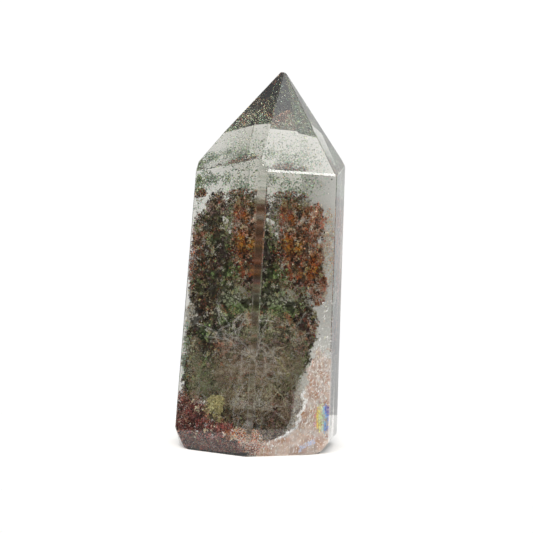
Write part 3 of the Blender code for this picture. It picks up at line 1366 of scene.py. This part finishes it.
    def plane(self) -> Piece:
        """Build the healed crack itself, a mottled sheet that undulates under the facet.

        Returns:
            The piece.
        """
        columns, rows = self.sheet_grid
        across, up = np.meshgrid(np.linspace(0.0, 1.0, columns), np.linspace(0.0, 1.0, rows))
        z = self.sheet_low + (self.sheet_top - self.sheet_low) * up.ravel()
        left = self.left_edge(z)
        x = left + (self.right - left) * across.ravel()
        spots = np.stack([x, np.full(len(x), self.sheet_slice), z], axis=1)
        waves = self.sheet_waves.at(spots)
        y = self.stone.facet_y(Side.FRONT_RIGHT, x, z, self.sheet_depth) + waves * self.sheet_wave
        points = np.stack([x, y, z], axis=1)
        ragged = self.sheet_top - self.sheet_fade * (0.5 + self.sheet_ragged * waves)
        inside = self.stone.inside(points, self.skin) & (z < ragged)
        cell = np.arange((rows - 1) * columns).reshape(rows - 1, columns)[:, :-1].ravel()
        corners = np.stack([cell, cell + 1, cell + columns + 1, cell + columns], axis=1)
        corners = corners[inside[corners].all(axis=1)]
        mesh = bpy.data.meshes.new("crack_plane")
        mesh.from_pydata((points * MM).tolist(), [], corners.tolist())
        warm = self.sheet_mottles.at(spots)
        pale = self.sheet_specks.at(spots)
        stops = np.array([linear(tone) for tone in self.sheet_tones])
        share = np.clip(0.5 + self.sheet_mottle * warm, 0.0, 1.0) * (len(stops) - 1)
        tones = np.stack([np.interp(share, np.arange(len(stops)), part) for part in stops.T], axis=1)
        tones = np.clip(tones * np.exp(pale * self.sheet_speck)[:, None], 0.0, BRIGHTEST)
        store_tones(mesh, np.concatenate([tones, np.ones((len(tones), 1))], axis=1))
        finish = GrainFinish("crack_plane_clay", mottle=0.6, relief=0.1, shade=(0.84, 1.04)).material()
        return place_piece("crack_plane", mesh, finish)

    def build(self) -> list[Piece]:
        """Build the cloud, the rim, the crack's sheet and the film.

        Returns:
            The four pieces.
        """
        rng = np.random.default_rng(self.seed)
        z = self.cloud_low + (self.outline[-1][0] - self.cloud_low) * rng.random(self.cloud_flakes)
        left = self.left_edge(z)
        x = left + (self.right - left) * rng.random(self.cloud_flakes)
        places = self.under_front(x, z, self.cloud_depth, rng)
        dense = np.interp(z, self.cloud_thins, (1.0, self.cloud_thin))
        keep = (x > left) & (rng.random(self.cloud_flakes) < dense)
        cloud = self.flakes("milky_cloud", places[keep], self.cloud_spread, self.cloud_sizes, self.cloud, rng)
        # White flakes along the broken edge: the milky fracture, with painted glints along it.
        z = self.rim_low + (self.rim_top - self.rim_low) * rng.random(self.rim_flakes)
        x = self.left_edge(z) + rng.normal(size=self.rim_flakes) * self.rim_wide
        places = self.under_front(x, z, self.rim_depth, rng)
        rim = self.flakes("broken_rim", places, self.rim_spread, self.rim_sizes, blend(milk=1.0), rng)
        film = self.build_film(rng)
        return [cloud, rim, self.plane(), film]

    def build_film(self, rng: Rng) -> Piece:
        """Build the rainbow film and the blue streak under it.

        Args:
            rng: the seeded random numbers.

        Returns:
            The piece.
        """
        low, high = np.array(self.film_low), np.array(self.film_high)
        spots = low + (high - low) * rng.random((self.film_flakes, 2))
        waves = np.array([noise.noise(Vector((x, 0.0, z * self.film_stretch))) for x, z in spots.tolist()])
        along = np.clip((spots[:, 0] - low[0]) / (high[0] - low[0]) + waves * self.film_waver, 0.0, 1.0)
        half = (high[1] - low[1]) * 0.5
        middle = 1.0 - np.abs(spots[:, 1] - low[1] - half) / half
        lines = 0.5 + 0.5 * np.sin(spots[:, 0] * self.film_lines)
        likely = np.clip(self.film_start + self.film_growth * along, 0.0, 1.0)
        likely = likely * np.clip(middle * self.film_edge, 0.0, 1.0)
        likely = likely * (self.film_between + (1.0 - self.film_between) * lines)
        level, swing = self.film_patches
        likely = likely * np.clip(level + swing * waves, 0.0, 1.0)
        keep = rng.random(self.film_flakes) < likely
        start, end = self.film_path
        path = start + (end - start) * along[keep]
        places = self.under_front(*spots[keep].T, self.film_depth, rng)
        streak_x = rng.uniform(*self.streak_x, self.streak_flakes)
        streak_z = self.streak_low + (streak_x - self.streak_x[0]) * self.streak_rise
        streak_z = streak_z + rng.uniform(-self.streak_wide, self.streak_wide, self.streak_flakes)
        places = np.concatenate([places, self.under_front(streak_x, streak_z, self.streak_depth, rng)])
        streak_path = rng.uniform(*self.streak_path, self.streak_flakes)
        colours = film_colours(np.concatenate([path, streak_path]))
        pale = np.repeat((self.film_pale, self.streak_pale), (len(path), self.streak_flakes))[:, None]
        colours = colours * (1.0 - pale) + self.film_white * pale
        return self.flakes("rainbow_film", places, self.film_spread, self.film_sizes, colours, rng)


# Studio


WARM_LIGHT = (1.0, 0.96, 0.9)
# The stone's middle, at which the lamps aim, in metres.
MIDDLE = (0.0, 0.0, 0.032)


@dataclass(frozen=True)
class Softbox:
    """One softbox: where it hangs, its aim, its sides, its power and its colour, lengths in metres."""

    name: str
    place: Point
    aim: Point
    sides: Pair
    power: float
    colour: Colour = (1.0, 1.0, 1.0)

    def hang(self) -> None:
        """Put the light in the scene, facing its aim."""
        data = bpy.data.lights.new(self.name, "AREA")
        data.shape = "RECTANGLE"
        data.size, data.size_y = self.sides
        data.energy = self.power
        data.color = self.colour
        lamp = new_object(self.name, data)
        lamp.location = self.place
        way = Vector(self.aim) - Vector(self.place)
        lamp.rotation_euler = way.to_track_quat("-Z", "Y").to_euler()


@dataclass(frozen=True)
class Card:
    """A card or window of the surround: its direction, inner and outer edge in degrees, and brightness."""

    towards: Point
    inner: float
    outer: float
    bright: float


@dataclass
class Studio:
    """White paper floor, soft light and the camera at the photograph's place.

    The floor and the lamps are in metres, the camera's place and its sensor in mm and its turns in degrees.
    """

    floor_radius: float = 0.06
    floor_segments: int = 96
    camera_distance: float = 202.4
    camera_height: float = 27.0
    camera_side: float = -0.1
    camera_yaw: float = 0.12
    camera_pitch: float = 1.12
    camera_roll: float = 2.16
    focal_pixels: float = 1171.7
    picture_pixels: float = 533.0
    sensor: float = 36.0
    room: float = 1.02
    ceiling: float = 1.25
    rise: Pair = (0.25, 0.8)
    cards: tuple[Card, ...] = (
        Card((-0.915, -0.395, 0.07), 17.0, 25.0, 0.05),
        Card((0.80, -0.595, 0.07), 13.0, 19.0, 0.05),
        Card((0.836, -0.532, 0.131), 1.0, 3.3, 2.2),
        Card((-0.574, 0.819, 0.13), 9.0, 13.0, 0.66),
        Card((-0.54, 0.31, 0.78), 10.0, 16.0, 0.6),
        Card((-0.777, 0.629, 0.0), 5.0, 9.0, 0.5),
        Card((0.284, 0.957, -0.09), 1.8, 3.1, 0.6),
        Card((0.284, 0.959, -0.04), 1.8, 3.1, 0.6),
        Card((0.284, 0.959, 0.01), 1.8, 3.1, 0.6),
        Card((0.284, 0.957, 0.06), 1.8, 3.1, 0.6),
        Card((0.284, 0.952, 0.11), 1.8, 3.1, 0.6),
        Card((0.300, 0.912, 0.279), 2.5, 5.0, 0.75),
    )
    lamps: tuple[Softbox, ...] = (
        Softbox("front_softbox", (-0.08, -0.72, 0.40), MIDDLE, (0.5, 0.25), 11.0, WARM_LIGHT),
        Softbox("top_softbox", (0.46, -0.04, 0.82), MIDDLE, (0.3, 0.3), 0.45),
        Softbox("lamp", (0.636, -0.382, 0.556), MIDDLE, (0.14, 0.14), 0.55),
    )

    def build(self) -> None:
        """Build the floor, the lights and the camera."""
        self.floor()
        self.surround()
        for lamp in self.lamps:
            lamp.hang()
        self.camera()

    def floor(self) -> None:
        """Lay the paper floor under the stone."""
        form = bmesh.new()
        bmesh.ops.create_circle(form, cap_ends=True, segments=self.floor_segments, radius=self.floor_radius)
        mesh = bpy.data.meshes.new("paper_floor")
        form.to_mesh(mesh)
        form.free()
        mesh.materials.append(StudioPaper().material())
        paper = new_object("paper_floor", mesh)

    def surround(self) -> None:
        """Light the room: white all round, a brighter ceiling, and cards and windows that the facets mirror.

        Where the camera looks past the stone, the surround stays plain white.
        """
        world = bpy.data.worlds.new("studio_surround")
        bpy.context.scene.world = world
        world.use_nodes = True
        tree = world.node_tree
        background = tree.nodes["Background"]
        place = add_node(tree, "ShaderNodeTexCoord", {}, {})
        split = add_node(tree, "ShaderNodeSeparateXYZ", {}, {"Vector": place.outputs["Generated"]})
        rise_from, rise_to = self.rise
        light = add_node(
            tree, "ShaderNodeMapRange",
            {
                "interpolation_type": "SMOOTHSTEP", "in:From Min": rise_from, "in:From Max": rise_to,
                "in:To Min": self.room, "in:To Max": self.ceiling,
            },
            {0: split.outputs["Z"]},
        )
        for card in self.cards:
            near = add_node(
                tree, "ShaderNodeVectorMath",
                {"operation": "DOT_PRODUCT", "in:1": Vector(card.towards).normalized()},
                {0: place.outputs["Generated"]},
            )
            edge_out, edge_in = (math.cos(math.radians(angle)) for angle in (card.outer, card.inner))
            cover = add_node(
                tree, "ShaderNodeMapRange",
                {"interpolation_type": "SMOOTHSTEP", "in:From Min": edge_out, "in:From Max": edge_in},
                {0: near.outputs["Value"]},
            )
            light = add_node(
                tree, "ShaderNodeMix", {"data_type": "FLOAT", "in:3": card.bright},
                {0: cover.outputs[0], 2: light.outputs[0]},
            )
        path = add_node(tree, "ShaderNodeLightPath", {}, {})
        shown = add_node(
            tree, "ShaderNodeMix", {"data_type": "FLOAT", "in:3": self.room},
            {0: path.outputs["Is Camera Ray"], 2: light.outputs[0]},
        )
        tree.links.new(shown.outputs[0], background.inputs["Strength"])
        background.inputs["Color"].default_value = (1.0, 1.0, 1.0, 1.0)

    def camera(self) -> None:
        """Set the camera where the photograph was taken from."""
        data = bpy.data.cameras.new("camera")
        data.sensor_width = self.sensor
        data.lens = self.focal_pixels / self.picture_pixels * self.sensor
        data.clip_start = 0.01
        view = new_object("camera", data)
        yaw = Matrix.Rotation(-math.radians(self.camera_yaw), 4, "Z")
        pitch = Matrix.Rotation(math.radians(90.0 + self.camera_pitch), 4, "X")
        roll = Matrix.Rotation(math.radians(self.camera_roll), 4, "Z")
        place = Matrix.Translation(Vector((self.camera_side, -self.camera_distance, self.camera_height)) * MM)
        view.matrix_world = place @ yaw @ pitch @ roll
        bpy.context.scene.camera = view


def set_rendering() -> None:
    """Let light pass through many facets, and keep colours as they are."""
    scene = bpy.context.scene
    scene.view_settings.view_transform = "Standard"
    scene.cycles.max_bounces = 32
    scene.cycles.glossy_bounces = 24
    scene.cycles.transmission_bounces = 24
    scene.cycles.diffuse_bounces = 4


# Mixes of minerals and where they lie

CHLORITE_MIX = blend(chlorite_deep=5.0, iron_rust=1.3, chlorite_leaf=1.2, beige_clay=1.5, soot=1.8, plum=1.4)
IRON_MIX = blend(
    iron_rust=4.0, iron_amber=1.2, soot=1.2, chlorite_deep=1.0, rose_clay=1.2, plum=1.4, beige_clay=0.6,
)
HEMATITE_MIX = blend(hematite=6.0, iron_rust=2.0, rose_clay=0.7, beige_clay=0.2, soot=1.0, chlorite_deep=0.4)


def garden_patches(stone: ClearStone) -> tuple[Patch, ...]:
    """Lay out the minerals of the garden and the iron cloud.

    Args:
        stone: the clear stone, whose back facets the patches lie under.

    Returns:
        The patches, later ones over earlier ones.
    """
    plum, soot, taupe, milk = Mineral.PLUM, Mineral.SOOT, Mineral.TAUPE, Mineral.MILK
    deep, leaf, pale = Mineral.CHLORITE_DEEP, Mineral.CHLORITE_LEAF, Mineral.CHLORITE_PALE
    rust, amber, ochre = Mineral.IRON_RUST, Mineral.IRON_AMBER, Mineral.OCHRE
    rose, beige = Mineral.ROSE_CLAY, Mineral.BEIGE_CLAY
    # Each spot's mineral, x, z, half width, half height and share; the near-black spots are painted shade.
    spots = (
        (plum, -5.2, 41.0, 2.2, 2.0, 0.6), (rose, -5.6, 41.8, 1.6, 1.2, 0.25),
        (deep, 1.2, 42.4, 3.0, 1.1, 0.6), (soot, 2.0, 40.3, 1.0, 0.6, 0.8),
        (amber, 1.8, 41.3, 0.5, 0.5, 0.9), (rust, -0.8, 40.0, 1.1, 1.0, 0.6),
        (amber, 0.9, 39.3, 1.0, 0.8, 0.5), (milk, 3.0, 39.3, 0.8, 0.5, 0.7),
        (rose, -0.4, 37.6, 1.9, 1.2, 0.65), (soot, 2.3, 37.4, 0.9, 1.1, 0.4),
        (amber, 1.2, 34.9, 2.2, 2.4, 0.8), (soot, 1.4, 33.4, 0.9, 0.4, 0.5),
        (rust, 1.4, 31.9, 2.0, 1.1, 0.6), (rose, -8.7, 35.4, 1.0, 3.9, 0.45),
        (rust, -8.6, 34.0, 1.0, 3.0, 0.3), (leaf, -5.9, 35.2, 1.1, 0.8, 0.6),
        (leaf, -4.4, 39.0, 0.7, 0.5, 0.5), (plum, -3.5, 32.4, 1.1, 4.2, 0.6),
        (leaf, -2.6, 35.4, 1.5, 2.0, 0.45), (leaf, -1.5, 29.5, 2.0, 1.7, 0.9),
        (leaf, -5.4, 28.9, 0.8, 0.7, 0.6), (leaf, -3.0, 27.2, 1.0, 1.0, 0.6),
        (rose, -1.5, 28.2, 2.0, 0.35, 0.5), (rust, 1.4, 29.2, 0.7, 0.6, 0.9),
        (plum, 2.1, 27.4, 1.4, 1.2, 0.5), (beige, 1.6, 25.6, 3.4, 1.9, 0.45),
        (pale, -0.8, 25.0, 2.6, 1.1, 0.65), (milk, -9.4, 31.6, 0.5, 0.6, 0.9),
        (rust, 5.4, 36.0, 1.6, 5.5, 0.4), (ochre, 4.2, 37.6, 0.5, 0.7, 0.6),
        (amber, 5.3, 30.8, 1.1, 2.1, 0.55), (plum, 3.0, 26.8, 1.6, 1.4, 0.6),
        (rose, 6.5, 26.8, 2.2, 1.8, 0.5), (milk, -9.2, 21.8, 1.2, 1.9, 0.8),
        (pale, -1.6, 24.6, 2.8, 1.3, 0.7), (leaf, -0.4, 23.4, 3.0, 1.2, 0.85),
        (leaf, -3.6, 21.4, 2.0, 1.3, 0.85), (leaf, -6.4, 19.0, 2.0, 1.5, 0.85),
        (soot, -7.2, 22.8, 1.3, 1.4, 0.5), (rust, -7.0, 23.2, 1.5, 1.5, 0.3),
        (soot, -4.2, 17.6, 1.5, 2.2, 0.6), (rust, -4.6, 17.0, 1.6, 2.0, 0.3),
        (plum, -0.6, 17.0, 2.4, 3.4, 0.7), (rust, 0.2, 20.2, 1.3, 0.9, 0.7),
        (rust, 2.2, 21.0, 1.0, 0.7, 0.7), (soot, 0.8, 19.4, 2.0, 1.6, 0.4),
        (rust, 4.2, 20.0, 1.6, 3.6, 0.5), (plum, 4.6, 19.0, 1.8, 4.6, 0.4),
        (leaf, -7.7, 10.2, 2.0, 1.8, 0.7), (leaf, -1.4, 10.6, 3.2, 2.6, 0.45),
        (ochre, -2.6, 8.8, 3.4, 2.2, 0.3), (leaf, 3.4, 12.0, 2.4, 2.6, 0.4),
        (plum, 2.4, 6.6, 3.2, 2.6, 0.5), (rust, -3.4, 4.6, 3.4, 1.8, 0.35),
        (beige, 1.2, 42.4, 3.0, 1.0, 0.3), (taupe, -5.2, 41.0, 2.2, 1.8, 0.4),
        (rose, 5.6, 38.5, 1.4, 3.4, 0.35), (rose, 1.9, 38.5, 1.6, 2.6, 0.2),
        (pale, -1.3, 25.2, 3.0, 2.2, 0.65),
    )
    under, thick_below, thin, thick = 2.4, 24.0, 4.0, 10.0
    patches = []
    for mineral, x, z, wide, tall, share in spots:
        centre = tuple(stone.behind(x, z, under))
        deep_reach = thin if z > thick_below else thick
        patches.append(Patch(mineral, centre, (wide, deep_reach, tall), share))
    return tuple(patches)


BASE_PATCHES = (
    Patch(Mineral.OCHRE, (-6.3, -5.6, 6.9), (2.3, 3.0, 2.0), 0.95),
    Patch(Mineral.BEIGE_CLAY, (-9.6, -5.0, 8.0), (2.4, 3.0, 0.6), 0.4),
    Patch(Mineral.IRON_AMBER, (-4.2, -8.6, 2.8), (1.4, 1.6, 0.9), 0.5),
)

SPRINKLE = blend(chlorite_leaf=3.0, chlorite_teal=3.5, beige_clay=1.6)
GREEN_TUFT = blend(chlorite_leaf=4.0, chlorite_pale=2.0, chlorite_deep=1.0)
DARK_CREST = blend(chlorite_deep=3.0, plum=2.0, soot=1.5, rose_clay=1.0)
RUST_SPOT = blend(iron_rust=3.0, plum=1.5, soot=1.0, rose_clay=0.5)
CLAY_EDGE = blend(beige_clay=4.0, rose_clay=3.0, iron_rust=0.4, milk=1.0)
BETWEEN = blend(chlorite_leaf=2.0, beige_clay=2.0, rose_clay=1.5, chlorite_deep=2.0, soot=0.6)
MIXED_SEAM = blend(chlorite_deep=2.0, iron_rust=2.0, soot=1.5, beige_clay=0.6, plum=1.0)
PALE_SEAM = blend(chlorite_deep=2.0, beige_clay=2.0, chlorite_pale=1.5, iron_rust=1.0, soot=0.8)
WHITE_PATCH = blend(milk=3.0, beige_clay=3.0, taupe=1.0)

DRIFTS = (
    Drift(-1.0, 44.6, 9.5, 2.6, 1050, SPRINKLE, (0.4, 2.4), (0.08, 0.18), 1.1),
    Drift(-1.0, 48.0, 9.5, 5.0, 700, SPRINKLE, (0.4, 2.4), (0.08, 0.16), 1.1),
    Drift(-9.5, 44.6, 1.5, 1.8, 900, GREEN_TUFT, (0.4, 2.4), (0.08, 0.2)),
    Drift(-9.3, 43.3, 1.6, 0.9, 500, RUST_SPOT, (0.4, 2.4), (0.08, 0.2)),
    Drift(-7.6, 45.6, 2.4, 1.8, 420, SPRINKLE, (0.4, 1.5), (0.07, 0.18), 0.75),
    Drift(-8.1, 43.3, 0.8, 0.6, 200, RUST_SPOT),
    Drift(-8.6, 41.0, 1.4, 1.8, 260, SPRINKLE),
    Drift(-5.2, 41.6, 2.1, 2.0, 900, DARK_CREST, (0.4, 2.2), (0.08, 0.24)),
    Drift(-4.0, 43.4, 1.4, 0.9, 160, DARK_CREST),
    Drift(-2.2, 41.4, 1.6, 2.2, 700, DARK_CREST, (0.4, 2.0), (0.08, 0.22)),
    Drift(-2.1, 38.4, 1.3, 3.6, 1700, BETWEEN, (0.4, 2.0), (0.08, 0.22), 0.8),
    Drift(1.0, 42.9, 3.4, 0.9, 800, DARK_CREST, (0.4, 2.0), (0.08, 0.22)),
    Drift(0.6, 43.6, 3.2, 0.8, 640, RUST_SPOT, (0.4, 2.0), (0.08, 0.22)),
    Drift(-2.8, 45.9, 1.6, 1.2, 300, SPRINKLE, (0.4, 1.5), (0.07, 0.18), 0.75),
    Drift(0.4, 44.6, 2.6, 1.8, 620, SPRINKLE, (0.4, 1.5), (0.07, 0.18), 0.75),
    Drift(-8.8, 36.5, 1.2, 3.6, 1500, RUST_SPOT, (0.4, 1.4)),
    Drift(-9.8, 30.5, 0.8, 4.4, 1400, RUST_SPOT, (0.4, 2.2)),
    Drift(-9.6, 21.8, 1.3, 2.2, 1200, WHITE_PATCH, (0.4, 2.4)),
    Drift(-10.4, 16.0, 1.2, 5.0, 900, SPRINKLE, (0.4, 3.0)),
    Drift(-0.9, 33.0, 1.2, 4.4, 2600, MIXED_SEAM, (0.5, 2.2), (0.09, 0.26)),
    Drift(0.6, 27.0, 2.0, 2.6, 2200, PALE_SEAM, (0.5, 2.4), (0.09, 0.26)),
    Drift(2.8, 26.2, 2.0, 1.6, 1800, PALE_SEAM, (0.5, 2.4), (0.09, 0.26)),
    Drift(8.0, 34.0, 1.4, 7.6, 2600, CLAY_EDGE, (0.4, 1.3), (0.08, 0.2)),
    Drift(-6.8, 46.0, 2.6, 1.3, 600, SPRINKLE, (0.4, 1.5), (0.07, 0.18), 0.75),
)

HAZE = blend(taupe=4.0, beige_clay=1.0, chlorite_deep=0.6)
GREEN_HAZE = blend(chlorite_leaf=2.0, taupe=3.0, beige_clay=1.0)
ROSE_HAZE = blend(taupe=3.0, rose_clay=2.0, beige_clay=1.2)
DARK_HAZE = blend(taupe=2.0, plum=2.0, chlorite_deep=1.0)
COTTON = blend(milk=2.0, beige_clay=2.0)

VEIL_PUFFS = (
    Puff((-10.2, -2.5, 13.5), (1.5, 2.5, 5.0), 5200, GREEN_HAZE, 8),
    Puff((-7.5, -2.0, 11.0), (2.6, 2.6, 4.0), 6500, GREEN_HAZE, 18, 0.65),
    Puff((-3.0, -2.4, 14.0), (3.0, 2.6, 4.6), 9500, ROSE_HAZE, 30, 0.6),
    Puff((-2.8, -1.8, 8.2), (4.0, 2.4, 3.6), 8500, HAZE, 24, 0.85),
    Puff((0.2, -2.6, 20.6), (2.6, 1.6, 2.8), 2400, GREEN_HAZE, 8, 0.85),
    Puff((1.8, -2.2, 14.2), (3.4, 2.6, 4.2), 7500, HAZE, 24),
    Puff((1.4, -2.0, 6.6), (3.2, 2.4, 4.4), 7500, DARK_HAZE, 20, 0.95),
    Puff((4.8, -1.4, 13.0), (2.4, 2.4, 4.4), 3600, GREEN_HAZE, 10),
    Puff((5.4, -2.2, 6.6), (3.2, 2.2, 3.4), 8000, DARK_HAZE, 14, 1.15),
    Puff((6.2, -2.2, 9.2), (1.8, 1.8, 2.8), 2200, DARK_HAZE, 5, 1.0),
    Puff((4.6, -2.0, 18.4), (2.4, 1.4, 2.2), 1100, GREEN_HAZE, 9, 0.8),
    Puff((0.3, -2.4, 15.8), (0.5, 0.6, 1.5), 500, COTTON, 7, 1.0),
    Puff((-1.0, -2.2, 13.2), (0.4, 0.6, 1.8), 300, COTTON, 3, 1.0),
    Puff((-1.4, -3.4, 7.8), (1.6, 1.0, 0.9), 900, COTTON, 6, 0.9),
    Puff((-4.6, -2.0, 19.0), (3.4, 1.6, 1.8), 500, COTTON, 12, 0.9),
)

PEACH = blend(rose_clay=3.0, iron_amber=1.0, beige_clay=1.5, iron_rust=1.0)
BLUSH = blend(rose_clay=3.0, iron_rust=1.0, beige_clay=1.0)

FOOT_PUFFS = (
    Puff((-7.4, -4.5, 1.2), (6.6, 6.8, 1.3), 9000, HEMATITE_MIX, light=0.55),
    Puff((-12.0, -1.0, 4.2), (1.5, 5.0, 4.6), 6000, HEMATITE_MIX, light=0.75),
    Puff((-7.0, -8.2, 1.0), (7.2, 4.0, 1.0), 7500, HEMATITE_MIX, light=0.55),
    Puff((-6.9, -5.8, 7.9), (1.0, 1.2, 1.0), 1100, blend(ochre=1.0), light=1.05),
    Puff((-5.7, -5.8, 8.1), (0.9, 1.1, 0.9), 900, blend(ochre=1.0), light=1.05),
    Puff((-5.9, -5.8, 6.9), (0.9, 1.1, 0.9), 800, blend(ochre=1.0), light=1.05),
    Puff((-2.4, -8.0, 2.6), (1.9, 2.0, 1.3), 1500, PEACH, light=1.0),
    Puff((-0.2, -9.0, 1.2), (2.4, 2.4, 1.0), 1500, BLUSH, light=0.9),
    Puff((1.0, -4.5, 2.4), (3.4, 4.0, 1.8), 3000, DARK_HAZE),
)

TIP_PUFFS = (
    Puff((2.5, 4.5, 47.6), (6.5, 4.5, 3.8), 800, SPRINKLE, light=0.6),
    Puff((-4.5, 2.0, 49.5), (4.5, 4.0, 4.0), 150, SPRINKLE, light=0.6),
)


def main() -> None:
    """Build every sub-assembly in order and report each piece."""
    logging.basicConfig(level=logging.INFO, format="%(message)s")
    set_rendering()
    stone = ClearStone()
    report(stone.build())
    patches = garden_patches(stone)
    masses = (
        SealedMass(
            stone, "chlorite_garden", "chlorite_garden", "chlorite", CHLORITE_MIX, patches,
            grains=48000, clumps=2600, seed=11,
        ),
        SealedMass(
            stone, "iron_cloud", "iron_oxide_cloud", "iron_oxide", IRON_MIX, patches,
            grains=24000, clumps=800, seed=12,
        ),
        SealedMass(
            stone, "hematite_mass", "hematite_base_mass", "hematite", HEMATITE_MIX, BASE_PATCHES,
            grains=20000, clumps=700, seed=13,
        ),
    )
    for mass in masses:
        for piece in mass.build():
            report(piece)
    report(LooseGrains(stone, DRIFTS).build())
    report(PuffGrains(stone, "foot_grains", "hematite", FOOT_PUFFS).build())
    report(PuffGrains(stone, "tip_grains", "chlorite", TIP_PUFFS, size=(0.09, 0.21)).build())
    for piece in FibreVeil(stone, VEIL_PUFFS).build() + BrokenCorner(stone).build():
        report(piece)
    Studio().build()


if __name__ == "__main__":
    main()
